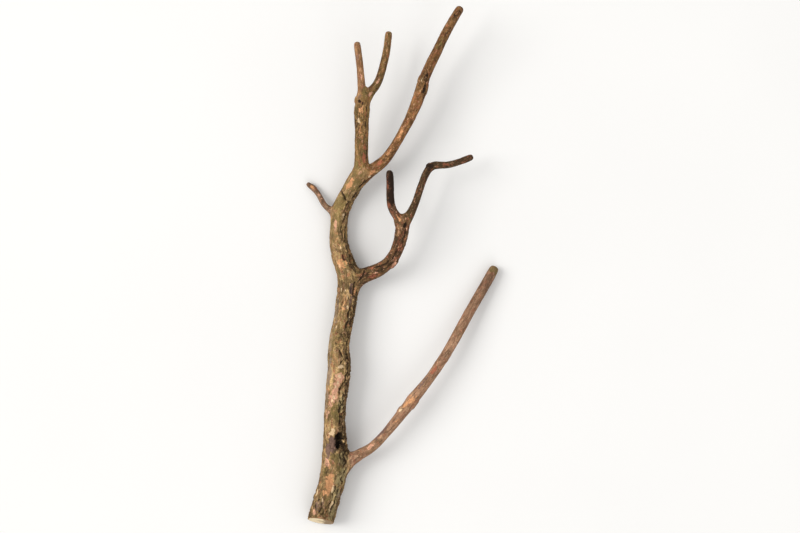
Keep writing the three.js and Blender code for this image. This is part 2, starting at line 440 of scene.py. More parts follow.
# Furrows placed one by one: the places that they run through, half their width and their depth. A
# place is millimetres along the limb from where it starts, and degrees round it from the top,
# to the right of someone who looks along the limb.
FURROWS = {
    "main_stem": [
        ([(285, 72), (265, 52), (250, 48), (238, 56)], 1.7, 2.2),
        ([(232, 44), (223, 54), (217, 37), (211, 46), (205, 30), (197, 15), (185, 15)], 1.6, 2.4),
        ([(185, 15), (175, 35), (165, 24), (155, 34), (145, 39), (138, 34)], 1.3, 2.0),
        ([(212, 48), (203, 82), (190, 84), (180, 68)], 1.3, 1.8),
        ([(255, -3), (247, 12), (239, 27), (235, 12), (229, -3)], 1.1, 1.6),
        ([(88, 58), (76, 48), (68, 42), (64, 60), (58, 45)], 1.7, 2.4),
        ([(58, 45), (48, 42), (42, 39), (32, 43), (22, 33), (12, 37)], 1.6, 2.4),
        ([(66, 74), (52, 66), (40, 72), (30, 62)], 1.2, 1.6),
        ([(108, 62), (100, 40), (92, 52), (84, 34)], 1.2, 1.5),
        ([(118, 48), (110, 30), (102, 24), (92, 30)], 1.1, 1.4),
        ([(34, -24), (27, -52), (16, -38)], 1.1, 1.4),
        ([(32, -24), (22, -12), (12, -20)], 1.1, 1.3),
        ([(322, 34), (311, 30), (305, 22), (297, 36), (289, 22), (280, 34)], 1.5, 2.2),
        ([(312, 52), (301, 46), (287, 56), (273, 60)], 1.5, 1.9),
        ([(366, 42), (350, 32), (340, 36), (329, 40)], 1.4, 1.8),
        ([(347, 8), (335, 20), (322, 26)], 0.8, 0.9),
        ([(486, -74), (484, -45), (482, -15), (479, 10), (477, 34)], 1.8, 2.2),
        ([(478, 28), (472, 25), (465, 26), (455, 45), (447, 34), (439, 22)], 1.0, 1.4),
        ([(439, 22), (431, 17), (425, 28), (419, 27), (411, 18)], 0.9, 1.3),
        ([(447, 58), (431, 50), (419, 52), (408, 40)], 1.0, 1.3),
        # A groove along the stem's right edge whose dark colour is also painted shade there.
        ([(345, 58), (330, 64), (312, 66), (296, 60), (285, 68)], 1.5, 2.0),
        ([(60, 20), (52, 28), (46, 20), (36, 24), (26, 12)], 1.0, 1.3),
        ([(104, 76), (92, 70), (84, 76), (72, 70)], 1.2, 1.5),
        ([(394, 12), (387, 2), (382, 12)], 1.2, 1.4),
        ([(504, 44), (512, 54), (520, 50)], 1.4, 1.6),
        ([(494, 52), (484, 46)], 1.3, 1.5),
    ],
    "crown_left_limb": [
        ([(20, 62), (6, 58), (-8, 48)], 1.2, 1.4),
        ([(60, 44), (46, 38), (34, 48)], 0.9, 1.0),
        ([(78, 34), (68, 50)], 0.9, 1.0),
    ],
    "crown_right_limb": [
        ([(-34, 60), (-24, 52), (-14, 66)], 1.2, 1.5),
        ([(122, 40), (132, 28), (142, 38), (152, 14)], 1.1, 1.3),
        ([(112, 60), (124, 66)], 1.1, 1.2),
    ],
    "middle_limb": [
        ([(-8, 20), (4, -8), (8, -50)], 1.5, 1.8),
        ([(22, -40), (32, -26), (44, -8), (52, -16)], 1.3, 1.5),
        ([(52, 10), (60, 0), (72, 12)], 1.3, 1.5),
        ([(28, 10), (40, 22), (50, 34)], 1.0, 1.2),
        ([(78, 30), (90, 36), (102, 26)], 1.2, 1.4),
    ],
}

# Marks placed one by one, for each limb and kind: the place as above, half the length along the
# limb and half the width in millimetres, and the strength. A knob stands out from the limb by
# its strength in millimetres.
MARKS = {
    "main_stem": {
        "hole": [(113, 18, 4, 4.5, 1.1), (119, 25, 6.5, 7.5, 1.2), (127, 31, 7, 10, 1.3)],
        "dark": [(117, 40, 6, 4, 0.8), (464, -78, 5, 5, 0.7)],
        "cream": [
            (28, 28, 9, 3, 0.6), (32, -18, 3, 1.6, 0.8), (40, -62, 5, 2.4, 0.8),
            (54, 14, 9, 1.6, 0.9), (134, -14, 4, 4.5, 1.1), (137, -8, 3, 3, 0.9),
            (179, -20, 3.5, 3, 0.9), (186, -13, 4, 2.6, 0.9), (199, -10, 3, 2, 0.6),
            (207, 0, 4, 2.4, 0.7), (216, 8, 3, 2.6, 0.9), (229, 9, 3, 4.6, 1.4),
            (286, -32, 3, 2, 0.6), (299, 38, 3, 2.4, 0.8), (315, 15, 3, 2.4, 0.9),
            (331, 4, 7, 1.3, 0.7), (339, -16, 5, 1.3, 0.6), (341, -38, 4, 1.3, 0.6),
            (380, -32, 3, 1.8, 0.6), (403, 6, 4, 1.8, 0.8), (452, 28, 4, 2.2, 0.8),
        ],
        "mauve": [
            (24, -30, 14, 9, 0.65), (108, -32, 16, 5, 1), (118, -10, 16, 7, 1.3),
            (326, 23, 9, 3, 1), (341, 16, 9, 3, 1),
        ],
        "grey": [
            (44, 56, 6, 4, 0.8), (180, -60, 20, 5, 0.8), (222, -56, 22, 6, 1.1),
            (262, -56, 20, 5, 0.7), (305, -52, 26, 5, 0.7),
        ],
        "olive": [
            (18, 44, 14, 8, 0.9), (46, 34, 16, 9, 1.1), (72, 40, 16, 9, 1.2),
            (96, 30, 12, 10, 0.9), (178, 34, 18, 6, 0.8),
        ],
        "pink": [
            (12, -44, 6, 4, 0.8), (90, -38, 7, 5, 1.2), (162, -42, 14, 5, 0.45),
            (176, -30, 6, 5, 0.8), (184, -20, 8, 8, 1.4), (195, -6, 7, 6, 1), (204, 0, 6, 7, 1.1),
            (213, 5, 6.5, 7, 1.5), (437, -21, 9, 3, 0.9),
        ],
        "moss": [
            (40, 10, 12, 6, 0.5), (76, -42, 9, 6, 0.8), (82, 16, 12, 7, 0.7), (97, 0, 10, 9, 0.9),
            (163, 4, 17, 7.5, 0.9), (221, 11, 6, 4.6, 1.3), (266, -40, 14, 6, 0.5),
            (370, -56, 12, 5, 0.6), (440, -56, 12, 6, 0.6), (452, -10, 14, 7, 0.8),
            (470, -30, 15, 10, 1.2), (494, -50, 16, 5, 0.6), (506, 14, 20, 9, 0.7),
            (522, -40, 10, 5, 0.7),
        ],
        "orange": [
            (46, -18, 6, 4.5, 0.8), (57, -6, 15, 7, 2.0), (70, -6, 7, 4.5, 1.6),
            (84, -26, 6, 4, 0.6), (322, -12, 12, 5.5, 0.5), (342, 43, 10, 2.4, 0.9),
            (379, -21, 8, 7, 0.9), (420, -10, 12, 3.4, 0.4), (502, -22, 9, 4, 0.9),
        ],
        "red": [(389, 6, 5, 4, 0.6), (506, -26, 5, 3, 0.7)],
        "knob": [
            (60, 84, 8, 6, 0.8), (92, 80, 10, 6, 1.0), (322, -84, 9, 7, 0.7),
            (390, -80, 9, 7, 0.8),
        ],
    },
    "lower_limb": {
        "pink": [(16, -22, 8, 3, 0.8)],
        "orange": [(70, 10, 10, 3, 0.4), (96, -30, 7, 4, 1), (108, -6, 10, 5, 0.7)],
        "cream": [(85, -36, 5, 2.4, 1)],
        "moss": [(100, 20, 8, 5, 0.6), (333, 10, 9, 9, 0.9)],
        "red": [(161, -24, 7, 2.6, 0.9)],
        "mauve": [(45, -56, 18, 3.5, 0.8), (136, -40, 12, 3, 0.7)],
        "knob": [(86, -70, 7, 5, 0.8), (106, 78, 9, 6, 1.3), (188, 70, 9, 5, 0.5)],
    },
    "middle_limb": {
        "red": [(16, 28, 10, 3.8, 1), (82, -12, 9, 3, 0.6)],
        "pink": [(22, 14, 5, 2.2, 0.8), (48, 46, 9, 3, 0.8)],
        "dark": [(6, -50, 8, 5, 0.6)],
        "pit": [(106, 24, 4.5, 3.2, 1)],
        "knob": [(48, 80, 9, 6, 1.5), (106, -86, 5, 5, 0.8)],
    },
    "middle_left_twig": {
        "dark": [(30, 26, 15, 7.5, 1.5), (50, 36, 15, 7.5, 1.5)],
        "orange": [(-8, 8, 6, 2.4, 0.8)],
        "red": [(14, -30, 8, 3, 0.6), (46, -40, 14, 2.6, 0.8)],
    },
    "middle_right_twig": {
        "dark": [(60, 10, 8, 5, 0.5), (70, -40, 8, 8, 0.8)],
        "red": [(96, 0, 12, 3, 0.5)],
        "knob": [(71, -90, 4, 4, 1.4)],
    },
    "crown_left_limb": {
        "pit": [(82, -24, 2.6, 3.4, 1)],
        "dark": [(80, -2, 3, 4, 0.7)],
        "mauve": [(88, -36, 4, 4, 0.7)],
        "orange": [(36, -10, 7, 3.5, 0.5), (72, -4, 10, 4.2, 0.8)],
        "cream": [(55, -22, 4, 2.4, 0.8)],
        "red": [(1, 22, 9, 3, 1), (14, 36, 6, 2.4, 0.8)],
        "moss": [(-14, -40, 9, 5, 0.8), (24, -30, 14, 4, 0.5)],
        "knob": [(66, 84, 9, 5, 0.8), (82, -72, 6, 5, 1.8)],
    },
    "crown_left_twig": {
        "pink": [(14, 0, 7, 2.2, 0.6)],
        "mauve": [(44, -30, 12, 2.4, 0.6)],
        "knob": [(-6, 86, 4, 4, 1.6)],
        "moss": [(-8, 40, 7, 5, 1)],
        "dark": [(-10, 60, 4, 3, 0.6)],
    },
    "crown_right_twig": {
        "pink": [(-10, 15, 6, 2.4, 1), (12, -3, 5, 2.6, 1)],
        "dark": [(0, 60, 8, 3, 0.5)],
    },
    "crown_right_limb": {
        "red": [(4, -12, 9, 3, 1)],
        "orange": [(-14, 24, 8, 3.5, 0.7), (24, -14, 10, 2.6, 0.8), (60, -20, 14, 2.8, 0.6)],
        "cream": [(-20, 38, 3, 2, 0.8), (140, -24, 4, 2, 0.6)],
        "dark": [(127, 30, 9, 4, 0.7), (148, 6, 5, 4, 0.6), (248, 10, 8, 5, 0.5)],
        "moss": [(198, -8, 14, 4, 0.6)],
        "knob": [(128, 86, 9, 5, 1.2), (140, -60, 6, 5, 1.0)],
    },
    "left_spur": {
        "pink": [(22, 10, 7, 2.2, 0.5)],
        "orange": [(38, 20, 5, 2.6, 0.7)],
        "knob": [(37, 80, 5, 4, 0.9)],
    },
}
TINTS = ("pale", "brown", "deep")
KINDS = ("olive", "cream", "grey", "mauve", "pink", "orange", "red", "moss")
KINDS += ("dark", "pit", "hole", "knob")

# Where a limb's bark gets darker: from and to which distance along it, and down to what share.
FADES = {
    "main_stem": (455, 500, 0.76),
    "lower_limb": (200, 300, 0.72),
    "middle_left_twig": (0, 22, 0.4),
    "crown_right_limb": (100, 220, 0.8),
}

# How deep a mark of strength 1 is sunk, in millimetres.
SUNK = {"cream": 0.25, "pink": 0.35, "orange": 0.3, "pit": 1.7, "hole": 7.0, "knob": -1.0}


def start_of(limb):
    """How far along its centre line a limb starts to be a piece of its own."""
    return limb["s"][np.linalg.norm(limb["path"][:, :3] - limb["cut"], axis=1).argmin()]


class Surface:
    """The corners of the skin, with their places in each limb's own coordinates."""

    def __init__(self, points, limbs):
        self.points = points
        self.limbs = limbs
        self.near = {}
        self.start = {node: start_of(limb) for node, limb in limbs.items()}
        gaps = np.full((len(points), len(NODES)), FAR)
        for i, node in enumerate(NODES):
            path = limbs[node]["path"]
            low = (path[:, :3] - path[:, 3:]).min(0) - BAND
            high = (path[:, :3] + path[:, 3:]).max(0) + BAND
            index = np.flatnonzero(((points > low) & (points < high)).all(1))
            place = np.empty(len(index))
            for k in range(0, len(index), BATCH):
                some = index[k : k + BATCH]
                gaps[some, i], place[k : k + BATCH] = nearest_on(limbs[node], points[some])
            self.near[node] = (index, place)
        share = np.exp(-(gaps - gaps.min(1, keepdims=True)) / BARK_BLEND)
        self.share = share / share.sum(1, keepdims=True)
        self.label = gaps.argmin(1)

    def local(self, node):
        """Corners near a limb: their index, distance along, angle round and radius."""
        limb = self.limbs[node]
        index, place = self.near[node]
        steps = np.arange(len(limb["path"]))

        def along(values):
            return np.stack([np.interp(place, steps, values[:, i]) for i in range(3)], 1)

        rel = self.points[index] - along(limb["path"])
        side = (rel * along(limb["right"])).sum(1)
        rise = (rel * along(limb["up"])).sum(1)
        s = np.interp(place, steps, limb["s"])
        return index, s, np.arctan2(side, rise), np.hypot(side, rise)

    def spot(self, node, s, degrees):
        """The place on the skin at a distance along a limb and an angle round it."""
        limb = self.limbs[node]
        k = abs(limb["s"] - self.start[node] - s).argmin()
        a = math.radians(degrees)
        out = limb["up"][k] * math.cos(a) + limb["right"][k] * math.sin(a)
        place = limb["path"][k, :3] + out * limb["path"][k, 3]
        closest = np.linalg.norm(self.points - place, axis=1).argmin()
        return self.points[closest], limb["tangent"][k]


def ring_place(angle, radius):
    return np.stack([radius * np.cos(angle), radius * np.sin(angle)], 1)


def limb_bark(node, s, angle, radius):
    """Height, crack depth, plate number and brokenness of a limb's bark."""
    furrow, fine, (across, along), cracked = BARK[node]
    seed = 40 * NODES.index(node) + 5
    ring = ring_place(angle, radius)

    def coords(width, length):
        return np.hstack([ring / width, s[:, None] / length])

    rough = np.full(len(s), cracked)
    if node == "main_stem":
        # Above the butt the left flank is smoother, and so is the bark towards the crown.
        flank = 0.5 - 0.5 * np.cos(angle + 0.9)
        least = 0.7 - 0.4 * smoothstep(55, 110, s)
        rough *= least + (1 - least) * smoothstep(0.08, 0.7, flank)
        rough *= 1 - 0.5 * smoothstep(340, 430, s)
    warp = 0.7 * np.stack([noise(coords(6, 9), seed + i) for i in range(3)], 1)
    near, second, number = cells(coords(across, along) + warp, seed + 20)
    patchy = smoothstep(-0.35, 0.45, noise(coords(18, 32), seed + 3))
    broken = np.clip(rough * (0.35 + 0.9 * patchy), 0, 1)
    crack = (1 - smoothstep(0.02, 0.24, second - near)) * broken
    near, second, flake = cells(coords(4.2, 7.5) + 1.3 * warp, seed + 24)
    gap = (1 - smoothstep(0.02, 0.3, second - near)) * smoothstep(0.1, 0.6, rough)
    wrinkle = noise(coords(2.4, 9) + warp, seed + 33) + 0.6 * noise(coords(1.6, 4), seed + 34)
    lumps = fbm(coords(11, 22), 3, seed + 35)
    height = -furrow * crack
    height += furrow * 0.4 * (number - 0.5) * rough
    height += (0.9 * (flake - 0.5) - 0.55 * gap) * min(1, 0.6 * furrow) * (0.3 + rough)
    height += fine * 0.5 * wrinkle * (0.45 + 0.55 * rough)
    height += min(1.0, 0.07 * np.median(radius)) * lumps
    return height, np.maximum(crack, 0.45 * gap), number, broken


def hand_furrows(surface):
    """How deep and how dark the listed furrows make every corner."""
    p = surface.points
    depth = np.zeros(len(p))
    dark = np.zeros(len(p))
    jitter = noise(p / 4.5, 301) * 1.1 + noise(p / 2.0, 302) * 0.9
    girth = 0.6 + 0.4 * smoothstep(-0.5, 0.4, noise(p / 6, 303))
    for node, furrows in FURROWS.items():
        for places, half, deep in furrows:
            line = np.array([surface.spot(node, s, degrees)[0] for s, degrees in places])
            low, high = line.min(0) - FURROW_REACH, line.max(0) + FURROW_REACH
            index = np.flatnonzero(((p > low) & (p < high)).all(1))
            a, ab = line[:-1], np.diff(line, axis=0)
            rel = p[index][:, None] - a[None]
            t = np.clip((rel * ab).sum(-1) / (ab**2).sum(-1), 0, 1)
            gap = np.linalg.norm(rel - t[..., None] * ab, axis=-1)
            closest = gap.argmin(1)
            run = (t[np.arange(len(index)), closest] + closest) / len(a)
            taper = smoothstep(0, 0.15, run) * smoothstep(1, 0.85, run) * 0.75 + 0.25
            wide = half * girth[index]
            gap = gap.min(1) + 0.42 * half * jitter[index]
            shape = (1 - smoothstep(0, 1, (gap - 0.3 * wide) / (1.3 * wide))) * taper
            depth[index] = np.maximum(depth[index], deep * shape)
            dark[index] = np.maximum(dark[index], shape)
    return depth, dark


def hand_marks(surface):
    """How strongly each kind of mark shows at every corner."""
    p = surface.points
    marks = {kind: np.zeros(len(p)) for kind in KINDS}
    ragged = 0.35 * noise(p / 4.0, 401) + 0.3 * noise(p / 1.8, 402)
    listed = [
        (node, kind, place)
        for node, kinds in MARKS.items()
        for kind, places in kinds.items()
        for place in places
    ]
    for node, kind, (s, degrees, half_length, half_width, strength) in listed:
        spot, tangent = surface.spot(node, s, degrees)
        reach = max(half_length, half_width) * 1.5
        index = np.flatnonzero((abs(p - spot) < reach).all(1))
        rel = p[index] - spot
        along = rel @ tangent
        across = np.sqrt(np.maximum((rel**2).sum(1) - along**2, 0))
        far = np.hypot(along / half_length, across / half_width)
        raggedness = 0.4 if kind in ("hole", "knob") else 1.0
        shape = strength * (1 - smoothstep(0.6, 1.1, far + raggedness * ragged[index]))
        marks[kind][index] = np.maximum(marks[kind][index], shape)
    return marks


def vertex_normals(points, quads):
    corner = points[quads]
    face = np.cross(corner[:, 2] - corner[:, 0], corner[:, 3] - corner[:, 1])
    total = np.zeros_like(points)
    for i in range(4):
        for axis in range(3):
            weight = face[:, axis]
            total[:, axis] += np.bincount(quads[:, i], weights=weight, minlength=len(points))
    return unit(total + 1e-12)


def add_bark(surface, quads):
    """Moves the skin's corners to make the bark, and returns what the materials show of it."""
    points = surface.points
    count = len(points)
    normals = vertex_normals(points, quads)
    height, crack, plate, broken = np.zeros((4, count))
    tone = np.ones(count)
    tints = np.zeros((count, 9))
    for i, node in enumerate(NODES):
        index, s, angle, radius = surface.local(node)
        keep = surface.share[index, i] > 0.01
        index = index[keep]
        share = surface.share[index, i]
        h, c, n, b = limb_bark(node, s[keep], angle[keep], radius[keep])
        height[index] += share * h
        crack[index] += share * c
        plate[index] += share * n
        broken[index] += share * b
        tints[index] += share[:, None] * np.ravel(PALETTES[node])
        start, end, level = FADES.get(node, (0, 1, 1))
        along = s[keep] - surface.start[node]
        tone[index] -= share * (1 - level) * smoothstep(start, end, along)
    depth, dark = hand_furrows(surface)
    marks = hand_marks(surface)
    calm = np.maximum.reduce([marks["mauve"], marks["cream"], 0.5 * marks["moss"]]).clip(0, 1)
    height *= 1 - 0.65 * calm
    crack *= 1 - 0.85 * calm
    height -= depth
    for kind, deep in SUNK.items():
        height -= deep * marks[kind]
    butt = surface.limbs["main_stem"]
    inside = (butt["cut"] - points) @ butt["out"]
    sawn = smoothstep(0.45, 0.85, normals @ butt["out"]) * (inside < 1.2)
    saw_marks = 0.12 * noise(points @ np.diag([0.9, 0.3, 0.15]), 91)
    height = height * (1 - sawn) * smoothstep(0, 1.4, inside) + sawn * saw_marks
    surface.points = points + normals * height[:, None]
    masks = {"crack": np.maximum(0.8 * crack, dark), "plate": plate, "sawn": sawn}
    masks |= {"height": height, "broken": broken}
    # Painted shade: the colour darkens where the skin faces down, on the sides and underside of
    # every limb.
    masks["underside_shade"] = smoothstep(0.72, -0.1, normals[:, 2])
    masks["tone"] = tone
    masks["purity"] = surface.share.max(1)
    masks.update(marks)
    masks.update(zip(TINTS, np.hsplit(tints, 3)))
    return masks


# ---- the meshes ----


def straightened(surface, quads):
    """Each face corner's place as if its limb were straight, for patterns that follow it."""
    face_label = surface.share[quads].sum(1).argmax(1)
    own = np.zeros((len(quads), 4, 3))
    for i, node in enumerate(NODES):
        index, s, angle, radius = surface.local(node)
        place = np.zeros((len(surface.points), 3))
        place[index] = np.hstack([ring_place(angle, radius), s[:, None] + APART * i])
        mine = face_label == i
        own[mine] = place[quads[mine]]
    return own.reshape(-1, 3) * MM


def store(mesh, name, kind, domain, key, values):
    """Puts an array of values on a mesh."""
    mesh.attributes.new(name, kind, domain).data.foreach_set(key, values.ravel())


def whole_mesh(surface, quads, own, masks):
    """The whole branch as one mesh, with everything that the materials read stored on it."""
    mesh = bpy.data.meshes.new("branch")
    mesh.vertices.add(len(surface.points))
    mesh.vertices.foreach_set("co", (surface.points * MM).ravel())
    mesh.loops.add(quads.size)
    mesh.loops.foreach_set("vertex_index", quads.ravel())
    mesh.polygons.add(len(quads))
    mesh.polygons.foreach_set("loop_start", np.arange(0, quads.size, 4))
    mesh.polygons.foreach_set("use_smooth", np.ones(len(quads), bool))
    mesh.update(calc_edges=True)
    store(mesh, "own", "FLOAT_VECTOR", "CORNER", "vector", own)
    shading = vertex_normals(surface.points, quads)
    store(mesh, "shading", "FLOAT_VECTOR", "POINT", "vector", shading)
    for name, values in masks.items():
        if values.ndim == 1:
            store(mesh, name, "FLOAT", "POINT", "value", values.astype(np.float32))
        else:
            values = np.hstack([values, np.ones((len(values), 1))]).astype(np.float32)
            store(mesh, name, "FLOAT_COLOR", "POINT", "color", values)
    store(mesh, "label", "INT", "POINT", "value", surface.label.astype(np.int32))
    return mesh


def cut_at_forks(mesh, limbs):
    """Parts the mesh along the plane where each limb starts."""
    bm = bmesh.new()
    bm.from_mesh(mesh)
    for node in PARENT:
        limb = limbs[node]
        centre = Vector(limb["cut"] * MM)
        reach = (1.45 * limb["radius"] + 3) * MM
        near = [f for f in bm.faces if (f.calc_center_median() - centre).length < reach]
        geometry = near + list(dict.fromkeys(e for f in near for e in f.edges))
        geometry += list(dict.fromkeys(v for f in near for v in f.verts))
        plane = {"plane_co": centre, "plane_no": Vector(limb["out"])}
        found = bmesh.ops.bisect_plane(bm, geom=geometry, dist=1e-7, **plane)
        ring = [e for e in found["geom_cut"] if isinstance(e, bmesh.types.BMEdge)]
        bmesh.ops.split_edges(bm, edges=ring)
    bm.to_mesh(mesh)
    bm.free()


def loose_parts(mesh):
    """The number of the loose part that each corner belongs to."""
    a, b = read(mesh.edges, "vertices", 2, np.int32).T
    part = np.arange(len(mesh.vertices))
    while (part[a] != part[b]).any():
        low = np.minimum(part[a], part[b])
        np.minimum.at(part, part[a].copy(), low)
        np.minimum.at(part, part[b].copy(), low)
        part = part[part]
        part[a] = part[b] = np.minimum(part[a], part[b])
    return part


def piece_mesh(whole, name, keep):
    """One limb cut out of the whole mesh, closed where it was cut."""
    mesh = whole.copy()
    mesh.name = name
    bm = bmesh.new()
    bm.from_mesh(mesh)
    bm.verts.ensure_lookup_table()
    drop = [bm.verts[i] for i in np.flatnonzero(~keep)]
    bmesh.ops.delete(bm, geom=drop, context="VERTS")
    open_edges = [e for e in bm.edges if e.is_boundary]
    for cap in bmesh.ops.holes_fill(bm, edges=open_edges, sides=0)["faces"]:
        cap.smooth = False
    bm.to_mesh(mesh)
    bm.free()
    normals = read(mesh.attributes["shading"].data, "vector", 3, np.float32)
    corner = read(mesh.loops, "vertex_index", 1, np.int32)
    start = read(mesh.polygons, "loop_start", 1, np.int32)
    smooth = read(mesh.polygons, "use_smooth", 1, bool)
    size = np.diff(np.append(start, len(corner)))
    normals = unit(normals[corner] + 1e-12) * np.repeat(smooth, size)[:, None]
    mesh.normals_split_custom_set(normals.tolist())
    for spare in ("shading", "label"):
        mesh.attributes.remove(mesh.attributes[spare])
    return mesh


def make_pieces(limbs):
    """A mesh object for each limb, together one unbroken surface."""
    points, quads = skin(limbs)
    surface = Surface(points, limbs)
    own = straightened(surface, quads)
    masks = add_bark(surface, quads)
    whole = whole_mesh(surface, quads, own, masks)
    cut_at_forks(whole, limbs)
    part = loose_parts(whole)
    label = read(whole.attributes["label"].data, "value", 1, np.int32)
    pieces = {}
    for number in np.unique(part):
        keep = part == number
        node = NODES[np.bincount(label[keep]).argmax()]
        name = node + "_bark"
        piece = bpy.data.objects.new(name, piece_mesh(whole, name, keep))
        bpy.context.scene.collection.objects.link(piece)
        pieces[node] = piece
    bpy.data.meshes.remove(whole)
    return pieces


# ---- materials ----


class Shader:
    """A material's nodes, added one call at a time; an input is a value or another's output."""

    def __init__(self, name):
        self.material = bpy.data.materials.new(name)
        self.material.use_nodes = True
        self.tree = self.material.node_tree
        self.tree.nodes.clear()

    def node(self, kind, inputs, **settings):
        node = self.tree.nodes.new(kind)
        for key, value in settings.items():
            setattr(node, key, value)
        for key, value in inputs.items():
            socket = node.inputs[key]
            if isinstance(value, bpy.types.NodeSocket):
                self.tree.links.new(value, socket)
            elif socket.type == "RGBA":
                socket.default_value = (*value, 1)
            else:
                socket.default_value = value
        return node

    def stored(self, name, kind="Fac"):
        """A number, a colour or a place stored on the mesh."""
        return self.node("ShaderNodeAttribute", {}, attribute_name=name).outputs[kind]

    def scaled(self, place, *steps):
        scale = [1 / (step * MM) for step in steps]
        return self.node("ShaderNodeMapping", {"Vector": place, "Scale": scale}).outputs["Vector"]

    def own_place(self, across, along):
        """Coordinates that count in steps of so many millimetres across and along the limb."""
        return self.scaled(self.stored("own", "Vector"), across, across, along)

    def place(self, size):
        """Coordinates that count in steps of so many millimetres, whatever the limb does."""
        place = self.node("ShaderNodeTexCoord", {}).outputs["Object"]
        return self.scaled(place, size, size, size)

    def noise(self, place, detail=2.0, roughness=0.5):
        inputs = {"Vector": place, "Scale": 1.0, "Detail": detail, "Roughness": roughness}
        return self.node("ShaderNodeTexNoise", inputs).outputs["Fac"]

    def span(self, value, low, high, to_low=0.0, to_high=1.0):
        """Maps a stretch of values smoothly to another."""
        inputs = {"Value": value, "From Min": low, "From Max": high}
        inputs |= {"To Min": to_low, "To Max": to_high}
        node = self.node("ShaderNodeMapRange", inputs, interpolation_type="SMOOTHSTEP")
        return node.outputs["Result"]

    def cells(self, place, feature):
        inputs = {"Vector": place, "Scale": 1.0}
        return self.node("ShaderNodeTexVoronoi", inputs, feature=feature)

    def warped(self, place, amount):
        """Coordinates pushed about by noise."""
        push = self.node("ShaderNodeTexNoise", {"Vector": place, "Scale": 0.8, "Detail": 3.0})
        inputs = {0: push.outputs["Color"], 1: (amount,) * 3, 2: place}
        moved = self.node("ShaderNodeVectorMath", inputs, operation="MULTIPLY_ADD")
        return moved.outputs["Vector"]

    def math(self, operation, a, b, c=0.0):
        return self.node("ShaderNodeMath", {0: a, 1: b, 2: c}, operation=operation).outputs[0]

    def times(self, first, *others):
        for other in others:
            first = self.math("MULTIPLY", first, other)
        return first

    def mix(self, share, a, b, blend="MIX"):
        node = self.node("ShaderNodeMix", {}, data_type="RGBA", blend_type=blend)
        for key, value in ((0, share), (6, a), (7, b)):
            if isinstance(value, bpy.types.NodeSocket):
                self.tree.links.new(value, node.inputs[key])
            else:
                node.inputs[key].default_value = value if key == 0 else (*value, 1)
        return node.outputs[2]


CREAM = (0.86, 0.62, 0.37)
MAUVE = (0.18, 0.105, 0.085)
PINK = (0.82, 0.43, 0.28)
ORANGE = (0.8, 0.39, 0.18)
RED = (0.42, 0.13, 0.07)
MOSS = (0.19, 0.14, 0.045)
OLIVE = (0.44, 0.345, 0.165)
UMBER = (0.032, 0.017, 0.008)
SOOT = (0.018, 0.009, 0.005)
# Painted shade: near black for the inside of the sunk hole.
HOLE_SHADE = (0.006, 0.004, 0.003)
GREY = (0.27, 0.2, 0.14)
WOOD = (0.9, 0.76, 0.52)
RING = (0.8, 0.62, 0.38)
HEART = (0.3, 0.17, 0.08)
STAIN = (0.2, 0.115, 0.055)


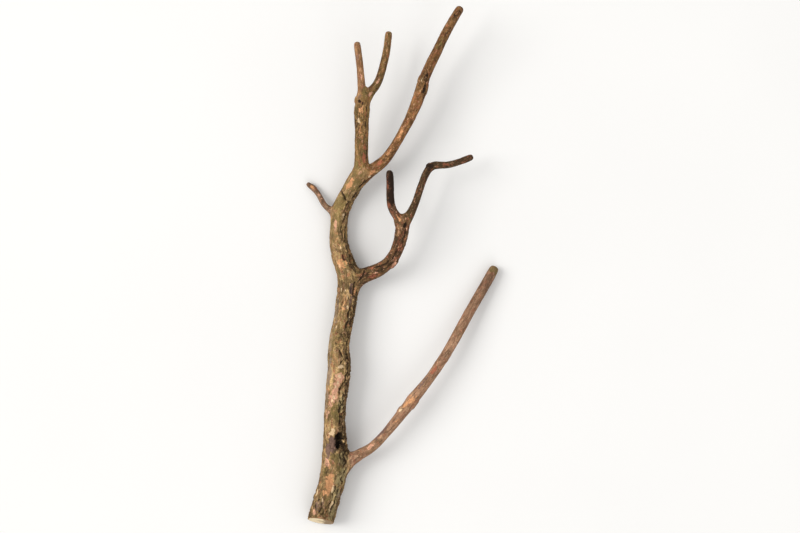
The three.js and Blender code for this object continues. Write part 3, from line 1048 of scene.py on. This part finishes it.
def bark(name, flecks, blush, green, flaky):
    """Flaking bark in three browns, with pale flecks, reddish patches and a green cast."""
    sh = Shader(name)
    pale, brown, deep = (sh.stored(tint, "Color") for tint in TINTS)
    calm = sh.span(sh.stored("purity"), 0.55, 0.95)
    broken = sh.span(sh.stored("broken"), 0.05, 0.55, 0.2 * flaky, flaky)
    flake_place = sh.warped(sh.own_place(3.4, 6.0), 1.1)
    edge = sh.cells(flake_place, "DISTANCE_TO_EDGE").outputs["Distance"]
    number = sh.cells(flake_place, "F1").outputs["Color"]
    flake = sh.node("ShaderNodeSeparateColor", {"Color": number}).outputs
    colour = sh.mix(sh.span(sh.noise(sh.own_place(7, 24), 4, 0.65), 0.38, 0.6), brown, pale)
    streak = sh.span(sh.noise(sh.own_place(2.2, 13), 4, 0.7), 0.46, 0.62)
    colour = sh.mix(sh.times(streak, calm, 0.8), colour, deep)
    for tint, most, place, roughness, low, high in (
        (MOSS, green, sh.place(30), 0.6, 0.47, 0.64),
        (RED, blush, sh.own_place(5, 8), 0.7, 0.55, 0.62),
        (PINK, blush, sh.own_place(3.4, 5), 0.7, 0.59, 0.65),
        (CREAM, flecks, sh.own_place(1.9, 3.6), 0.6, 0.59, 0.66),
    ):
        cover = sh.span(sh.noise(place, 3, roughness), low, high, 0, most)
        colour = sh.mix(cover, colour, tint)
    tone = sh.span(sh.stored("plate"), 0, 1, 0.8, 1.18)
    # Painted shade and painted highlight: the colour darkens with the relief's depth in the
    # hollows and lightens on the raised bark.
    relief_shade = sh.span(sh.stored("height"), -1.8, 1.2, 0.6, 1.25)
    chip = sh.times(sh.math("SUBTRACT", flake["Red"], 0.5), broken)
    chip = sh.span(chip, -0.5, 0.5, 0.62, 1.42)
    grain = sh.span(sh.noise(sh.place(1.0), 3, 0.7), 0.3, 0.7, 0.68, 1.3)
    level = sh.times(tone, relief_shade, grain, chip, sh.stored("tone"))
    shade = sh.node("ShaderNodeCombineColor", {"Red": level, "Green": level, "Blue": level})
    colour = sh.mix(1.0, colour, shade.outputs[0], "MULTIPLY")
    # Painted shade: faces that turn downwards are darkened towards the deep brown.
    colour = sh.mix(sh.times(sh.stored("underside_shade"), 0.7), colour, deep)
    ragged = sh.times(sh.math("SUBTRACT", flake["Green"], 0.5), 0.5)
    fray = sh.math("SUBTRACT", sh.noise(sh.own_place(2.4, 3.6), 3, 0.7), 0.5)
    ragged = sh.math("ADD", ragged, sh.times(fray, 1.3))
    for kind, tint, solid in (
        ("olive", OLIVE, 0.75),
        ("mauve", MAUVE, 0.85),
        ("grey", GREY, 0.7),
        ("moss", MOSS, 0.7),
        ("red", RED, 0.75),
        ("orange", ORANGE, 0.8),
        ("pink", PINK, 0.78),
        ("cream", CREAM, 0.9),
    ):
        cover = sh.span(sh.math("ADD", sh.stored(kind), ragged), 0.3, 0.75, 0, solid)
        cover = sh.times(cover, sh.span(sh.stored(kind), 0, 0.15))
        colour = sh.mix(cover, colour, sh.mix(0.55, tint, shade.outputs[0], "MULTIPLY"))
    patchy = sh.span(sh.noise(sh.own_place(7, 12), 2, 0.6), 0.38, 0.6)
    seam = sh.times(sh.span(edge, 0.03, 0.17, 0.85, 0), broken, patchy, calm)
    colour = sh.mix(seam, colour, UMBER)
    cracked = sh.span(sh.math("ADD", sh.stored("crack"), fray), 0.28, 0.85, 0, 0.84)
    colour = sh.mix(cracked, colour, UMBER)
    # Painted shade: the sunk pits and the hole are darkened to near black inside, where shade
    # falls.
    for kind, tint in (("dark", SOOT), ("pit", SOOT), ("hole", HOLE_SHADE)):
        patch = sh.span(sh.math("ADD", sh.stored(kind), ragged), 0.3, 0.8, 0, 0.9)
        patch = sh.times(patch, sh.span(sh.stored(kind), 0, 0.2))
        colour = sh.mix(patch, colour, tint)
    colour = sh.mix(sh.stored("sawn"), colour, sawn_wood(sh))
    fine = sh.math("ADD", sh.noise(sh.own_place(1.1, 3), 3, 0.6), sh.noise(sh.place(0.6), 2, 0.6))
    fine = sh.math("ADD", fine, sh.times(sh.span(edge, 0.0, 0.2), broken))
    bump = sh.node("ShaderNodeBump", {"Height": fine, "Strength": 0.7, "Distance": 0.5 * MM})
    rough = sh.span(sh.stored("mauve"), 0, 1, 0.86, 0.6)
    surface = {
        "Base Color": colour,
        "Roughness": rough,
        "Specular IOR Level": 0.18,
        "Normal": bump.outputs["Normal"],
    }
    principled = sh.node("ShaderNodeBsdfPrincipled", surface)
    sh.node("ShaderNodeOutputMaterial", {"Surface": principled.outputs["BSDF"]})
    return sh.material


def sawn_wood(sh):
    """The colour of the sawn end: year rings round the pith, and a stained side."""
    place = sh.stored("own", "Vector")
    flat = sh.node("ShaderNodeMapping", {"Vector": place, "Scale": (1 / MM, 1 / MM, 0)}).outputs[0]
    wobble = sh.times(sh.noise(flat, 2, 0.5), 2.0)
    length = sh.node("ShaderNodeVectorMath", {0: flat}, operation="LENGTH").outputs["Value"]
    rings = sh.math("SINE", sh.math("MULTIPLY_ADD", length, 3.2, wobble), 0.0)
    colour = sh.mix(sh.span(rings, -1, 1), WOOD, RING)
    colour = sh.mix(sh.span(length, 2, 8, 0.5, 0), colour, HEART)
    side = sh.node("ShaderNodeSeparateXYZ", {"Vector": flat}).outputs["Y"]
    blotch = sh.math("MULTIPLY_ADD", sh.noise(sh.place(5), 3, 0.6), 14, side)
    colour = sh.mix(sh.span(blotch, 9, 13, 0, 0.85), colour, STAIN)
    return sh.mix(sh.span(length, 17.4, 18.6), colour, HEART)


# How strong each limb's flecks, blush and green are, and how flaky its bark is.
LOOKS = {
    "main_stem": (0.4, 0.45, 0.45, 1.0),
    "lower_limb": (0.25, 0.35, 0.15, 0.35),
    "left_spur": (0.12, 0.25, 0.1, 0.5),
    "middle_limb": (0.15, 0.6, 0.2, 0.9),
    "middle_left_twig": (0.12, 0.45, 0.1, 0.6),
    "middle_right_twig": (0.12, 0.35, 0.2, 0.7),
    "crown_left_limb": (0.25, 0.4, 0.45, 1.0),
    "crown_left_twig": (0.25, 0.4, 0.05, 0.5),
    "crown_right_twig": (0.25, 0.4, 0.25, 0.7),
    "crown_right_limb": (0.25, 0.5, 0.15, 0.8),
}


def floor_material():
    sh = Shader("pale_floor")
    tone = sh.span(sh.noise(sh.place(400), 2, 0.5), 0.3, 0.7)
    colour = sh.mix(tone, (0.87, 0.865, 0.855), (0.885, 0.88, 0.87))
    shader = sh.node("ShaderNodeBsdfPrincipled", {"Base Color": colour, "Roughness": 0.9})
    sh.node("ShaderNodeOutputMaterial", {"Surface": shader.outputs["BSDF"]})
    return sh.material


# ---- floor, light and camera ----


def add_floor():
    half = 12.0
    mesh = bpy.data.meshes.new("floor")
    corners = [(-half, -half, 0), (half, -half, 0), (half, half, 0), (-half, half, 0)]
    mesh.from_pydata(corners, [], [(0, 1, 2, 3)])
    mesh.materials.append(floor_material())
    floor = bpy.data.objects.new("floor", mesh)
    bpy.context.scene.collection.objects.link(floor)


def add_area_light(name, place, size, power, colour):
    light = bpy.data.lights.new(name, "AREA")
    light.size = size
    light.energy = power
    light.color = colour
    lamp = bpy.data.objects.new(name, light)
    lamp.location = place
    lamp.rotation_euler = (-Vector(place)).to_track_quat("-Z", "Y").to_euler()
    bpy.context.scene.collection.objects.link(lamp)


def add_lights():
    world = bpy.data.worlds.new("studio")
    world.use_nodes = True
    background = world.node_tree.nodes["Background"]
    background.inputs["Color"].default_value = (1.0, 0.995, 0.985, 1)
    background.inputs["Strength"].default_value = 0.72
    bpy.context.scene.world = world
    add_area_light("key", (-11.7, 2.7, 10.2), 9.6, 1480, (1.0, 0.985, 0.96))
    add_area_light("fill", (2.4, -10.8, 7.8), 7.2, 230, (0.97, 0.985, 1.0))


def add_camera():
    """Straight above the branch, far enough back for its whole length."""
    camera = bpy.data.cameras.new("camera")
    camera.lens = 85
    view = bpy.data.objects.new("camera", camera)
    view.location = CAMERA_PLACE
    bpy.context.scene.collection.objects.link(view)
    bpy.context.scene.camera = view


limbs = find_limbs()
pieces = make_pieces(limbs)
slots = {part["node"]: part["material_slot"] for part in frame["record"]["subparts"]}
for node, piece in pieces.items():
    piece.data.materials.append(bark(slots[node], *LOOKS[node]))
    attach(piece, "root")
    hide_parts(node)
add_floor()
add_lights()
add_camera()
bpy.context.scene.view_settings.view_transform = "Standard"
